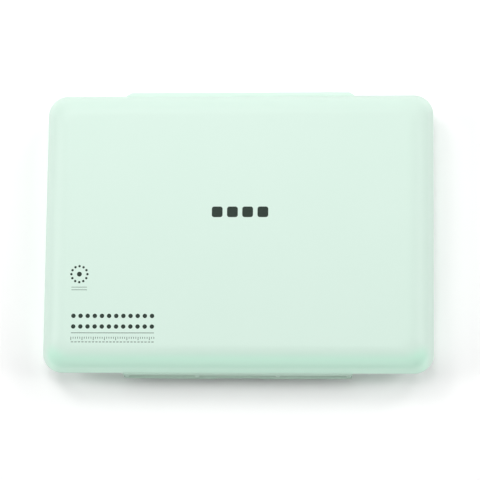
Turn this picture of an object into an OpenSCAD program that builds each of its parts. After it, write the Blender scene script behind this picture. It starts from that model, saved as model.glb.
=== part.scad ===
// Paint box: a shallow clamshell case with a pillowed lid, a pinned hinge behind, a hooked latch flap in front,
// twenty-four paint cups hung in a tray, a palette held inside the lid and three brushes in the tray's trough.
// The origin is the middle of the footprint at table height: X runs along the hinge, the latch is at -Y, Z is up.

/* [Case] */
// Length of the case at its rim
case_w = 350; // [348:1:360]
// Depth of the case at its rim, front to back
case_d = 254; // [252:1:262]
// Height of the closed case
case_h = 46; // [46:1:56]
// Plan radius of the four corners
corner_r = 18; // [17.5:0.5:22]
// Height of the parting line between base and lid
part_z = 22; // [22:0.5:24]
// Wall of the moulded shells
wall = 2.2; // [1.8:0.1:2.4]
// How far a wall leans in for each millimetre away from the parting line
draft = 0.36; // [0.34:0.01:0.37]

/* [Lid and base] */
// Radius of the lid's rolled upper edge
lid_roll_r = 22; // [20:0.5:24]
// Distance from the rim in to where the lid is flat
lid_flat_in = 23.3; // [22.5:0.1:25]
// Radius of the base's rolled lower edge
base_roll_r = 13; // [12.8:0.1:13.2]
// Distance from the lid's rim in to where the floor is flat
base_flat_in = 17.1; // [16.9:0.1:17.2]
// How far the base's rim stands in from the lid's rim
base_in = 0.6; // [0.5:0.1:0.8]
// Height of the foot ring under the floor
foot_h = 1; // [0.6:0.1:1]
// How far the base's tongue stands up inside the lid
tongue_h = 2; // [1:0.1:2]

/* [Hinge and latch] */
// Width of the hinge and of the latch where they meet the rim
strip_w = 207; // [200:1:210]
// How far hinge and latch stand out from the rim
strip_out = 2.8; // [2.8:0.1:3.2]
// Radius of the hinge barrel
barrel_r = 2.2; // [2.2:0.05:2.3]
// Radius of a hinge pin
hinge_pin_r = 1; // [0.8:0.05:1.1]
// Radius of the latch's barrel
latch_barrel_r = 1.45; // [1.4:0.05:1.45]
// Radius of the latch pin
latch_pin_r = 0.7; // [0.6:0.05:0.75]
// Height of the latch flap's lower edge at its middle
latch_low_z = 7; // [6.5:0.1:7.5]
// Width of the finger recess in the latch flap
finger_w = 43; // [30:1:50]
// How far the latch's hook reaches under its catch
hook_grip = 1; // [0.6:0.1:1.2]

/* [Cups] */
// Cups in one row
cup_columns = 6; // [3:1:6]
// Rows of cups
cup_rows = 4; // [2:1:4]
// Distance from one cup to the next
cup_pitch = 52.5; // [52:0.1:52.6]
// Width of a cup's flange
cup_flange_w = 51; // [50:0.5:51.5]
// Wall of a cup
cup_wall = 0.9; // [0.7:0.1:1.2]
// How far the paint lies below a cup's rim
paint_drop = 3.9; // [3:0.1:3.9]

/* [Tray, palette and brushes] */
// Thickness of the tray and of the palette
sheet_t = 1.6; // [1.4:0.1:1.8]
// Inner length of the brush trough
trough_w = 206; // [204:1:220]
// Inner width of the brush trough
trough_d = 24; // [24:0.5:25]
// Depth of the palette's three mixing wells
well_depth = 8; // [6:0.5:9]
// Depth of the palette's round wells
dimple_depth = 3.6; // [2.5:0.1:3.8]
// Largest radius of a brush handle
handle_r = 3.2; // [2.8:0.1:3.3]

/* [Hidden] */
$fn = 96;
far = 200;
// share of a roll's radius, down from its top, that the arc rules; the leaning wall rules the rest
roll_share = 0.68;
cup_names = [for (k = [1:cup_columns * cup_rows]) str("cup_", k < 10 ? "0" : "", k)];
paint_names = [for (k = [1:cup_columns * cup_rows]) str("paint_", k < 10 ? "0" : "", k)];

mint = [0.80, 0.94, 0.86];
white = [0.95, 0.95, 0.94];
steel = [0.75, 0.76, 0.78];
beech = [0.80, 0.62, 0.42];
hair = [0.45, 0.28, 0.16];

// hinge: places are distance out from the rim, and height
hinge_axis = [strip_out - barrel_r, 17.6];
hinge_end_slant = 4.6;
hinge_run = 0.08;
knuckle_ends = [2, 8.4, 83.8, 98];
knuckle_gap = 0.4;
ledge_low = hinge_axis[1] + barrel_r + 0.6;
ledge_top = part_z + 2;

// latch
latch_axis = [strip_out - latch_barrel_r - 0.35, 18.8];
latch_end_slant = 2.4;
latch_run = 0.08;
latch_t = 1.5;
lug_x = [36, 99];
lug_w = 3.2;
front_ledge_out = 1.5;
flap_bow = 3;
catch_x = [30, 70];
catch_z = 11;
hook_gap = 0.2;

// the base's rim: a step inside the wall, the tongue on it and the ring under the floor
tongue_in = 3.3;
tongue_t = 1.1;
step_h = 1.8;
foot_w = 3;

// tray and cups
tray_in = 5;
tray_z = 20;
tray_top = tray_z + sheet_t;
cup_flange_t = 0.9;
cup_rim_z = tray_top + cup_flange_t;
cup_top_w = 47;
cup_low_w = 43;
cup_low_z = 4.4;
cup_corner = 7;
window_w = 48;
cups_back_y = 91;
trough_y = -106.5;
trough_z = 12.6;
trough_t = 1.2;
post_x = [-118, -60, 0, 60, 118];
front_post_x = [-118, 118];
post_y = [-70, 0, 70];
post_in = 12.2;

// palette
palette_in = 8;
palette_z = 26;
palette_skirt_z = 38;
well_size = [98, 118];
well_pitch = 106;
dimple_w = 32;
dimple_pitch = 52;
dimple_y = 88;

// brushes: length of handle, ferrule radius and tuft length, back to front
brush_pitch = 7.6;
brushes = [[134, 2.9, 16], [138, 2.6, 18], [142, 2.2, 20]];
ferrule_l = 22;

// Half of a rounded rectangle's plan: two crossed bars and four round corners
module rounded(w, d, r) {
    square([w - 2 * r, d], center = true);
    square([w, d - 2 * r], center = true);
    for (x = [-1, 1], y = [-1, 1])
        translate([x * (w / 2 - r), y * (d / 2 - r)]) circle(r);
}

// A profile on both long sides of a bar w wide
module two_sided(w) {
    for (s = [0, 1])
        mirror([s, 0]) translate([w / 2, 0]) children();
}

// The outer part of a profile, as far in as the corner's centre
module outer_part(r) {
    intersection() {
        children();
        translate([-r, -far / 2]) square([2 * r, far]);
    }
}

// Runs a profile round a rounded rectangle. In the profile, 0 is the plan's edge, inwards is negative and up is up.
module around(w, d, r) {
    intersection() {
        rotate([90, 0, 0]) linear_extrude(d - 2 * r, center = true) two_sided(w) children();
        rotate([90, 0, 90]) linear_extrude(w - 2 * r, center = true) two_sided(d) children();
    }
    for (k = [0:3])
        let (sx = (k == 0 || k == 3) ? 1 : -1, sy = k < 2 ? 1 : -1)
            translate([sx * (w / 2 - r), sy * (d / 2 - r), 0])
                rotate([0, 0, 90 * k]) rotate_extrude(angle = 90) translate([r, 0]) outer_part(r) children();
    for (s = [0, 1])
        mirror([s, 0, 0]) translate([w / 2, 0, 0])
            rotate([90, 0, 0]) linear_extrude(d - 2 * r, center = true) outer_part(r) children();
    for (s = [0, 1])
        mirror([0, s, 0]) translate([0, d / 2, 0])
            rotate([90, 0, 90]) linear_extrude(w - 2 * r, center = true) outer_part(r) children();
}

// Extrudes a shape drawn as distance out from the back rim and height, from x0 to x1
module behind(x0, x1) {
    translate([x0, case_d / 2, 0]) rotate([90, 0, 90]) linear_extrude(x1 - x0) children();
}

// The same in front of the front rim
module in_front(x0, x1) {
    mirror([0, 1, 0]) behind(x0, x1) children();
}

// The same on the end walls, from y0 to y1
module beside(side, y0, y1) {
    mirror([side, 0, 0]) translate([case_w / 2, y0, 0]) rotate([90, 0, 0]) mirror([0, 0, 1])
        linear_extrude(y1 - y0) children();
}

// Plan of a strip on the back rim whose ends slant in by slant over its depth
module strip_plan(slant, out) {
    translate([0, case_d / 2, 0]) linear_extrude(far)
        polygon([[-strip_w / 2, -far / 10], [strip_w / 2, -far / 10], [strip_w / 2, 0],
            [strip_w / 2 - slant, out], [slant - strip_w / 2, out], [-strip_w / 2, 0]]);
}

// ---- lid -------------------------------------------------------------------------------------------------------

// Solid section of a shell, drawn upwards from the parting line at 0: a leaning wall, a rolled edge and a flat top.
// It is shrunk by t to give the hollow, which then starts 1 below the parting line.
module shell_section(h, rim_in, flat_in, roll_r, t) {
    foot = rim_in + t * sqrt(1 + draft * draft);
    low = t > 0 ? -1 : 0;
    intersection() {
        polygon([[-far, low], [-foot - draft * low, low], [-foot - draft * h, h], [-far, h]]);
        union() {
            translate([-far, low]) square([far, h - roll_share * roll_r - low]);
            translate([-far, low]) square([far - flat_in, h - t - low]);
            translate([-flat_in, h - roll_r]) intersection() {
                circle(roll_r - t);
                square(roll_r);
            }
        }
    }
}

module lid_section(t) {
    translate([0, part_z]) shell_section(case_h - part_z, 0, lid_flat_in, lid_roll_r, t);
}

module hinge_bore(r, x0, x1) {
    behind(x0, x1) translate(hinge_axis) circle(r);
}

// A hinge knuckle of the lid: the barrel hangs from the ledge
module lid_knuckle(x0, x1) {
    behind(x0, x1) {
        translate(hinge_axis) circle(barrel_r);
        translate([-0.4, hinge_axis[1]]) square([strip_out + 0.4, ledge_top - hinge_axis[1] - 1]);
    }
}

// The ledge along the back rim that covers the hinge
module hinge_ledge() {
    intersection() {
        behind(-strip_w / 2, strip_w / 2)
            polygon([[-0.4, ledge_low], [strip_out, ledge_low], [strip_out, ledge_top - 0.8],
                [strip_out - 0.8, ledge_top], [-1.6, ledge_top], [-1.6, part_z], [-0.4, part_z]]);
        strip_plan(hinge_end_slant, strip_out);
    }
}

// The narrow ledge along the front rim, with four lugs that hold the latch pin
module latch_ledge() {
    low = latch_axis[1] + latch_barrel_r + 0.5;
    intersection() {
        in_front(-strip_w / 2, strip_w / 2)
            polygon([[-0.4, low], [front_ledge_out, low], [front_ledge_out, part_z + 0.6],
                [front_ledge_out - 0.6, part_z + 1.2], [-1.6, part_z + 1.2], [-1.6, part_z], [-0.4, part_z]]);
        mirror([0, 1, 0]) strip_plan(latch_end_slant, strip_out);
    }
    for (x = [for (s = [-1, 1], u = lug_x) s * u])
        in_front(x - lug_w / 2, x + lug_w / 2) {
            translate(latch_axis) circle(latch_barrel_r);
            translate([latch_axis[0] - latch_barrel_r, latch_axis[1]])
                square([2 * latch_barrel_r, low - latch_axis[1] + 0.5]);
        }
}

// A hook on the lid's wall that the palette's edge snaps over
module palette_hook() {
    polygon([[-2.6, palette_z - 1.4], [-palette_in - 1.5, palette_z - 1.4], [-palette_in - 1.5, palette_z],
        [-3, palette_z]]);
}

module lid_shell() {
    color(mint) difference() {
        union() {
            difference() {
                around(case_w, case_d, corner_r) lid_section(0);
                around(case_w, case_d, corner_r) lid_section(wall);
            }
            hinge_ledge();
            latch_ledge();
            for (s = [-1, 1])
                lid_knuckle(s > 0 ? knuckle_ends[1] : -knuckle_ends[2], s > 0 ? knuckle_ends[2] : -knuckle_ends[1]);
            for (x = [-90, 76]) {
                behind(x, x + 14) palette_hook();
                in_front(x, x + 14) palette_hook();
            }
            for (s = [0, 1])
                beside(s, -7, 7) palette_hook();
        }
        hinge_bore(hinge_pin_r + hinge_run, -far, far);
        in_front(-lug_x[1] - lug_w, lug_x[1]) translate(latch_axis) circle(latch_pin_r + 0.02);
    }
}

// ---- base ------------------------------------------------------------------------------------------------------

module base_solid_section(t) {
    translate([0, part_z]) mirror([0, 1]) shell_section(part_z - foot_h, base_in, base_flat_in, base_roll_r, t);
}

// The base's wall and floor, the tongue that locates the lid and the foot ring
module base_section() {
    difference() {
        base_solid_section(0);
        base_solid_section(wall);
    }
    translate([-tongue_in - tongue_t, part_z - step_h]) square([2.8, step_h]);
    translate([-tongue_in - tongue_t, part_z - 0.5]) square([tongue_t, tongue_h + 0.5]);
    translate([-base_flat_in - 0.6 - foot_w, 0]) square([foot_w, foot_h + 0.5]);
}

// A rib on the inside of the wall that the tray stands on
module tray_post() {
    polygon([[-3, tray_z], [-post_in, tray_z], [-post_in, foot_h + 2.6], [-10.5, foot_h + 2.6], [-7, 9], [-5, 14]]);
}

// A knuckle of the base, with the heel that stops the lid when it is open
module base_knuckle(x0, x1) {
    behind(x0, x1) {
        translate(hinge_axis) circle(barrel_r);
        polygon([[-3.2, hinge_axis[1] + 0.6], [hinge_axis[0], hinge_axis[1] + 0.6],
            [hinge_axis[0], hinge_axis[1] - 3.1], [strip_out, hinge_axis[1] - 4.1], [strip_out, hinge_axis[1] - 5],
            [-3.8, hinge_axis[1] - 7], [-5.4, hinge_axis[1] - 7]]);
    }
}

// The shelf that the latch's hook catches under
module latch_catch() {
    tip = latch_axis[0] - 0.4;
    polygon([[-5.6, catch_z - 2.5], [-4.2, catch_z], [tip, catch_z], [tip, catch_z + 1.2], [-3.2, catch_z + 3.6],
        [-4.8, catch_z + 3.6]]);
}

module base_shell() {
    color(mint) difference() {
        union() {
            around(case_w, case_d, corner_r) base_section();
            for (x = post_x)
                behind(x - 1, x + 1) tray_post();
            for (x = front_post_x)
                in_front(x - 1, x + 1) tray_post();
            for (s = [0, 1], y = post_y)
                beside(s, y - 1, y + 1) tray_post();
            base_knuckle(knuckle_ends[2] + knuckle_gap, knuckle_ends[3]);
            base_knuckle(-knuckle_ends[3], -knuckle_ends[2] - knuckle_gap);
            base_knuckle(knuckle_gap - knuckle_ends[1], knuckle_ends[1] - knuckle_gap);
            for (s = [-1, 1])
                in_front(s > 0 ? catch_x[0] : -catch_x[1], s > 0 ? catch_x[1] : -catch_x[0]) latch_catch();
        }
        hinge_bore(hinge_pin_r + 0.02, knuckle_ends[0], far);
        hinge_bore(hinge_pin_r + 0.02, -far, -knuckle_ends[0]);
    }
}

// ---- hinge pins and latch --------------------------------------------------------------------------------------

module hinge_pin(x0, x1) {
    color(steel) hinge_bore(hinge_pin_r, x0, x1);
}

module latch_pin() {
    color(steel) in_front(-lug_x[1] - lug_w / 2, lug_x[1]) translate(latch_axis) circle(latch_pin_r);
}

// Section of the flap: barrel, leaning plate and the hook inside it
module flap_plate() {
    top = latch_axis[0] + latch_barrel_r;
    translate(latch_axis) circle(latch_barrel_r);
    polygon([[top - latch_t, latch_axis[1]], [top, latch_axis[1]], [strip_out, latch_low_z],
        [strip_out - latch_t, latch_low_z]]);
}

module flap_hook() {
    tip = latch_axis[0] - 0.4 - hook_grip;
    top = catch_z - hook_gap;
    root = strip_out - latch_t + 0.4;
    polygon([[root, top], [tip, top], [tip, top - 0.8], [root, top - 1.9]]);
}

// Front view of the flap: slanted ends, a lower edge bowed down to the middle
module flap_front() {
    half = strip_w / 2 - 1.4;
    corner_z = latch_low_z + flap_bow + 2.5;
    bow_r = (half * half + flap_bow * flap_bow) / (2 * flap_bow);
    rotate([90, 0, 0]) linear_extrude(2 * far, center = true)
        intersection() {
            polygon([[-half, far], [-half, corner_z], [3.5 - half, latch_low_z], [half - 3.5, latch_low_z],
                [half, corner_z], [half, far]]);
            translate([0, latch_low_z + bow_r]) circle(bow_r, $fn = 360);
        }
}

// Room for a lug between x0 and x1
module lug_notch(x0, x1) {
    translate([x0, -case_d / 2 - 6, latch_axis[1] - latch_barrel_r - 0.6]) cube([x1 - x0, 10, 6]);
}

module latch_flap() {
    room = lug_w / 2 + knuckle_gap;
    hook_x = [catch_x[0] + 2, catch_x[1] - 2];
    color(mint) difference() {
        union() {
            intersection() {
                in_front(-strip_w / 2, strip_w / 2) flap_plate();
                flap_front();
            }
            for (s = [-1, 1])
                in_front(s > 0 ? hook_x[0] : -hook_x[1], s > 0 ? hook_x[1] : -hook_x[0]) flap_hook();
        }
        for (s = [0, 1])
            mirror([s, 0, 0]) {
                lug_notch(lug_x[0] - room, lug_x[0] + room);
                lug_notch(lug_x[1] - room, far);
            }
        in_front(-far / 2, far / 2) translate(latch_axis) circle(latch_pin_r + latch_run);
        translate([0, -case_d / 2 - strip_out, latch_low_z])
            rotate([90, 0, 0]) linear_extrude(1.4, center = true) rounded(finger_w, 7, 3);
    }
}

// ---- tray, cups and paint --------------------------------------------------------------------------------------

function cup_place(k) = [((k % cup_columns) - (cup_columns - 1) / 2) * cup_pitch,
    cups_back_y - floor(k / cup_columns) * cup_pitch];

module cup_tray() {
    color(white) difference() {
        union() {
            translate([0, 0, tray_z]) linear_extrude(sheet_t) difference() {
                rounded(case_w - 2 * tray_in, case_d - 2 * tray_in, corner_r - tray_in + 1);
                for (k = [0:cup_columns * cup_rows - 1])
                    translate(cup_place(k)) rounded(window_w, window_w, cup_corner + 0.5);
            }
            translate([0, trough_y, trough_z - trough_t]) linear_extrude(tray_top - trough_z + trough_t)
                rounded(trough_w + 2 * trough_t, trough_d + 2 * trough_t, 7);
        }
        translate([0, trough_y, trough_z]) linear_extrude(far) rounded(trough_w, trough_d, 6);
    }
}

// Section of a cup's body between two heights, shrunk by t
module cup_section(t, z0, z1) {
    lean_in = (cup_top_w - cup_low_w) / 2 / (tray_top - cup_low_z);
    polygon([[-far, z0], [-t - lean_in * (tray_top - z0), z0], [-t - lean_in * (tray_top - z1), z1], [-far, z1]]);
}

module cup(k) {
    color(white) translate(cup_place(k)) difference() {
        union() {
            around(cup_top_w, cup_top_w, cup_corner) cup_section(0, cup_low_z, tray_top);
            translate([0, 0, tray_top]) linear_extrude(cup_flange_t) rounded(cup_flange_w, cup_flange_w, cup_corner + 2);
        }
        around(cup_top_w, cup_top_w, cup_corner) cup_section(cup_wall, cup_low_z + 1, cup_rim_z + 1);
    }
}

module paint(k) {
    color([0.3 + 0.6 * (k % cup_columns) / cup_columns, 0.5, 0.8 - 0.15 * floor(k / cup_columns)])
        translate(cup_place(k)) around(cup_top_w, cup_top_w, cup_corner)
            cup_section(cup_wall + 0.05, cup_low_z + 1, cup_rim_z - paint_drop);
}

// ---- palette ---------------------------------------------------------------------------------------------------

dimple_r = (dimple_w * dimple_w / 4 + dimple_depth * dimple_depth) / (2 * dimple_depth);
palette_w = case_w - 2 * palette_in;
palette_d = case_d - 2 * palette_in;
palette_r = 14;
dimple_places = [for (y = [-dimple_y, dimple_y], k = [-2.5:1:2.5]) [k * dimple_pitch, y]];

module well_section(t) {
    polygon([[-far, palette_z - 1 + t], [2 + t, palette_z - 1 + t], [2 + t, palette_z], [t, palette_z],
        [-4 + t, palette_z + well_depth + t], [-far, palette_z + well_depth + t]]);
}

module palette() {
    color(white) difference() {
        union() {
            translate([0, 0, palette_z]) linear_extrude(sheet_t) rounded(palette_w, palette_d, palette_r);
            translate([0, 0, palette_z]) linear_extrude(palette_skirt_z - palette_z) difference() {
                rounded(palette_w - 4, palette_d - 4, palette_r - 2);
                rounded(palette_w - 6.8, palette_d - 6.8, palette_r - 3.4);
            }
            for (x = [-1:1])
                translate([x * well_pitch, 0, 0]) around(well_size[0], well_size[1], 12)
                    intersection() {
                        well_section(1.3);
                        translate([-far, palette_z + 0.5]) square([2 * far, far]);
                    }
            for (p = dimple_places)
                translate(p) intersection() {
                    translate([0, 0, palette_z + dimple_depth - dimple_r]) sphere(dimple_r + 1.3);
                    translate([0, 0, palette_z + 0.5]) cylinder(h = 10, r = dimple_w / 2 + 3);
                }
        }
        for (x = [-1:1])
            translate([x * well_pitch, 0, 0]) around(well_size[0], well_size[1], 12) well_section(0);
        for (p = dimple_places)
            translate(p) translate([0, 0, palette_z + dimple_depth - dimple_r]) sphere(dimple_r);
    }
}

// ---- brushes ---------------------------------------------------------------------------------------------------

// Lays a turned shape along the trough: its length runs to +X from the trough's left end
module in_trough(k) {
    translate([-trough_w / 2 + 3, trough_y + (1 - k) * brush_pitch, trough_z + handle_r])
        rotate([0, 90, 0]) children();
}

module turned(outline) {
    rotate_extrude() polygon(outline);
}

module brush_handles() {
    color(beech) for (k = [0:2])
        let (l = brushes[k][0], f = brushes[k][1])
            in_trough(k) turned([[0, 0], [1.1, 0.6], [1.6, 3], [handle_r * 0.72, l * 0.45],
                [handle_r, l * 0.82], [f + 0.25, l - 2], [f - 0.4, l - 2], [f - 0.4, l + 6], [0, l + 6]]);
}

module brush_ferrules() {
    color(steel) for (k = [0:2])
        let (l = brushes[k][0], f = brushes[k][1])
            in_trough(k) turned([[f - 0.38, l - 1.9], [f, l - 1.9], [f, l + 9], [f * 0.86, l + ferrule_l - 2],
                [f * 0.5, l + ferrule_l - 2], [f * 0.5, l + 6.1], [f - 0.38, l + 6.1]]);
}

module brush_tufts() {
    color(hair) for (k = [0:2])
        let (l = brushes[k][0] + ferrule_l - 2, f = brushes[k][1], t = brushes[k][2])
            in_trough(k) turned([[0, l - 8], [f * 0.5 - 0.03, l - 8], [f * 0.5 - 0.03, l], [f * 0.84, l],
                [f * 0.95, l + t * 0.35], [f * 0.55, l + t * 0.8], [0, l + t]]);
}

// ----------------------------------------------------------------------------------------------------------------

base_shell();
lid_shell();
latch_flap();
hinge_pin(-knuckle_ends[3], -knuckle_ends[0]);  // hinge_pin_left
hinge_pin(knuckle_ends[0], knuckle_ends[3]);  // hinge_pin_right
latch_pin();
cup_tray();
palette();
brush_handles();
brush_ferrules();
brush_tufts();
for (k = [0:cup_columns * cup_rows - 1]) {
    cup(k);
    paint(k);
}
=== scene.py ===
# %% [markdown]
# # A paint set box, closed and open
#
# The box is a shallow clamshell of mint green plastic. Its lid is pillowed, a pinned hinge runs along the back and a
# wide latch flap closes it in front. Inside are twenty-four square cups of gouache, a mixing palette snapped into the
# lid and three brushes in a trough. The frame holds every piece's solid at its real place. This lesson dresses each
# one: moulded edges get their small radii, the paint its skin, the brushes their hair.

# %%
import math

import bmesh
import bpy
import numpy as np
from mathutils.geometry import tessellate_polygon
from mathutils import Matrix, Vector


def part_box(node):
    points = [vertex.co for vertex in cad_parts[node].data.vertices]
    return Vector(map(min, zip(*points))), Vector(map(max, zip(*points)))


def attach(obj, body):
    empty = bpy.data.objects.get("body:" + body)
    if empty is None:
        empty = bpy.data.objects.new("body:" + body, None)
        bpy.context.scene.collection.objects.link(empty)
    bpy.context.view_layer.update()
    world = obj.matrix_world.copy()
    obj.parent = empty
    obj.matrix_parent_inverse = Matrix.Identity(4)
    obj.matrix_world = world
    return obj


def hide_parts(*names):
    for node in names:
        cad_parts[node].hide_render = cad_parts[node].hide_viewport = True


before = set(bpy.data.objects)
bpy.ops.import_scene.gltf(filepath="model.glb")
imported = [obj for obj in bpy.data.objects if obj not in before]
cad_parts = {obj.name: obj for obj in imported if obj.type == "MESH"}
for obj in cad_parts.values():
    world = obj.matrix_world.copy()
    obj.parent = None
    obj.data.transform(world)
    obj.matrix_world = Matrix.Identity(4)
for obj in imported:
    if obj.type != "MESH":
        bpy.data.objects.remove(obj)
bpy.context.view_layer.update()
MM = 0.001

# %% [markdown]
# ## Sizes
#
# A moulder's drawing gives a few sizes and everything else follows from them. They are the same named values as in the
# solids, in millimetres. A place on the case is written the way its maker thinks of it: how far along the rim, how far
# out from it, and how high.

# %%
CASE_W, CASE_D, CASE_H = 350.0, 254.0, 46.0
PART_Z = 22.0
CORNER_R = 18.0
WALL = 2.2
DRAFT = 0.36
LEAN = math.sqrt(1 + DRAFT * DRAFT)
STRIP_W, STRIP_OUT = 207.0, 2.8
HINGE_AXIS = np.array([0.6, 17.6])
LATCH_AXIS = np.array([1.0, 18.8])
BARREL_R, LATCH_BARREL_R = 2.2, 1.45

for name in ("lid_shell", "base_shell", "latch_flap"):
    low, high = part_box(name)
    print(name, "is", [round((b - a) / MM, 1) for a, b in zip(low, high)], "mm")

# %% [markdown]
# ## Camera
#
# The photograph looks down from almost straight above with a long lens: the far rim is drawn only a little smaller than
# the near one, and the left end a little smaller than the right. So the camera stands over two metres off, leans to the
# front and slightly to the right, and is rolled back until the rim lies level.

# %%
VIEW_ELEVATION = 79.3
VIEW_TURN = 20.9
VIEW_DISTANCE = 2.2
VIEW_ROLL = -20.6
PIXELS_PER_MM = 1.1110
FRAME_PIXELS = 480.0
SENSOR = 36.0
AIM_PIXEL = (238.9, 233.5)
AIM_Z = 0.022


def add_object(name, data):
    """Puts an object with this data into the scene."""
    obj = bpy.data.objects.new(name, data)
    bpy.context.scene.collection.objects.link(obj)
    return obj


elevation, turn = math.radians(VIEW_ELEVATION), math.radians(VIEW_TURN)
camera_data = bpy.data.cameras.new("camera")
camera = add_object("camera", camera_data)
level = VIEW_DISTANCE * math.cos(elevation)
camera.location = (level * math.sin(turn), -level * math.cos(turn), AIM_Z + VIEW_DISTANCE * math.sin(elevation))
camera.rotation_euler = (math.pi / 2 - elevation, 0.0, turn)
camera.rotation_euler.rotate_axis("Z", math.radians(VIEW_ROLL))
camera_data.sensor_width = SENSOR
camera_data.lens = PIXELS_PER_MM / MM * VIEW_DISTANCE / FRAME_PIXELS * SENSOR
camera_data.shift_x = (FRAME_PIXELS / 2 - AIM_PIXEL[0]) / FRAME_PIXELS
camera_data.shift_y = (AIM_PIXEL[1] - FRAME_PIXELS / 2) / FRAME_PIXELS
bpy.context.scene.camera = camera
print("lens", round(camera_data.lens, 1), "mm at", VIEW_DISTANCE, "m")

# %% [markdown]
# ## Light
#
# Product pictures like this one are lit softly from all round, but most from above and behind: the floor is dark only
# close under the front rim. A weak uniform world gives the white room. Four lamps above and behind make the far roll
# brighter than the near one and lay the short shadow in front. Large lamps low at the sides, in front and behind stand
# for the light tent's walls: without them the box's ends and its near roll would go grey.

# %%
WORLD_STRENGTH = 0.1
LAMPS = {"back_lamp": ((-0.35, 1.3, 1.9), 1.3, 8.0), "left_lamp": ((-0.9, 1.2, 1.6), 0.7, 8.6),
         "right_lamp": ((1.4, 1.6, 1.6), 1.0, 12.5), "top_lamp": ((0.0, 0.6, 2.3), 1.0, 8.8),
         "left_wall": ((-2.2, 0.2, 1.3), 1.3, 25.0), "right_wall": ((2.2, 0.2, 1.3), 1.3, 23.0),
         "front_wall": ((0.0, -2.2, 0.5), 1.3, 15.5), "back_wall": ((0.0, 2.2, 0.8), 1.3, 2.0)}


def area_lamp(name, place, size, watts):
    """A round lamp at a place, turned so that its -Z axis points at the box."""
    lamp = bpy.data.lights.new(name, "AREA")
    lamp.shape, lamp.size, lamp.energy = "DISK", size, watts
    obj = add_object(name, lamp)
    obj.location = place
    x, y, z = place
    obj.rotation_euler = (math.atan2(math.hypot(x, y), z), 0.0, math.atan2(x, -y))


for name, (place, size, watts) in LAMPS.items():
    area_lamp(name, place, size, watts)
world = bpy.data.worlds.new("white_room")
world.use_nodes = True
background = world.node_tree.nodes["Background"]
background.inputs["Color"].default_value = (1.0, 1.0, 1.0, 1.0)
background.inputs["Strength"].default_value = WORLD_STRENGTH
bpy.context.scene.world = world
bpy.context.scene.view_settings.view_transform = "Standard"
print("room", WORLD_STRENGTH, "and lamps", list(LAMPS))

# %% [markdown]
# ## Shader maths as Python
#
# A procedural finish is a sum of masks and noises. Dragging Math nodes by hand hides the formula, so a small class
# wraps a socket and turns Python's operators into nodes. Its `add` makes any other node. Colours go through Mix nodes,
# because a Math node would grey them.

# %%
class Sock:
    """A shader socket that can be added, subtracted, multiplied and divided."""

    def __init__(self, tree, socket):
        self.tree, self.socket = tree, socket

    def add(self, kind, settings, inputs, output=0):
        """Adds a node, sets its settings first and then its sockets, and wraps one of its outputs."""
        made = self.tree.nodes.new(kind)
        for key, value in settings.items():
            setattr(made, key, value)
        for key, value in inputs.items():
            if isinstance(value, Sock):
                self.tree.links.new(value.socket, made.inputs[key])
            else:
                made.inputs[key].default_value = value
        return Sock(self.tree, made.outputs[output])

    def maths(self, operation, *values):
        return self.add("ShaderNodeMath", {"operation": operation}, dict(enumerate(values)))

    def __add__(self, other):
        return self.maths("ADD", self, other)

    def __sub__(self, other):
        return self.maths("SUBTRACT", self, other)

    def __rsub__(self, other):
        return self.maths("SUBTRACT", other, self)

    def __mul__(self, other):
        return self.maths("MULTIPLY", self, other)

    __radd__ = __add__
    __rmul__ = __mul__

    def band(self, low, high):
        """0 below low, 1 above high and a smooth step between them."""
        return self.add("ShaderNodeMapRange", {"interpolation_type": "SMOOTHSTEP"},
                        {"Value": self, "From Min": low, "From Max": high})

    def part(self, axis):
        """One axis of this place."""
        return self.add("ShaderNodeSeparateXYZ", {}, {"Vector": self}, axis)

    def tint(self, first, second):
        """Blends two colours by this factor. A Mix node's colour sockets are its inputs 6 and 7 and its output 2."""
        return self.add("ShaderNodeMix", {"data_type": "RGBA"}, {0: self, 6: first, 7: second}, 2)

    def noise(self, scale, detail=2.0, roughness=0.5):
        """Noise at this place, with scale in cycles a metre."""
        return self.add("ShaderNodeTexNoise", {}, {"Vector": self, "Scale": scale, "Detail": detail,
                                                   "Roughness": roughness}, "Fac")

    def stretched(self, x, y, z):
        """This place with its axes scaled."""
        return self.add("ShaderNodeMapping", {}, {"Vector": self, "Scale": (x, y, z)}, "Vector")

    def bump(self, distance, strength=1.0):
        """A normal from this height, which runs from 0 to 1 over a distance in metres."""
        return self.add("ShaderNodeBump", {}, {"Height": self, "Strength": strength, "Distance": distance}, "Normal")


class Finish:
    """A material with one Principled shader: plain values are set on it and wrapped sockets are linked to it."""

    def __init__(self, name, **constants):
        self.material = bpy.data.materials.new(name)
        self.material.use_nodes = True
        self.tree = self.material.node_tree
        self.shader = self.tree.nodes["Principled BSDF"]
        place = self.tree.nodes.new("ShaderNodeTexCoord")
        self.place = Sock(self.tree, place.outputs["Object"])
        self.set(**constants)

    def set(self, **sockets):
        for key, value in sockets.items():
            socket = self.shader.inputs[key.replace("_", " ")]
            if isinstance(value, Sock):
                self.tree.links.new(value.socket, socket)
            else:
                socket.default_value = value
        return self.material


def rgb(red, green, blue):
    """A colour written as a screen shows it, 0 to 255, as linear light."""
    curve = [c / 3294.6 if c <= 10.3 else ((c / 255 + 0.055) / 1.055) ** 2.4 for c in (red, green, blue)]
    return (*curve, 1.0)


print("rgb(128, 128, 128) is", round(rgb(128, 128, 128)[0], 3))
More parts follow.
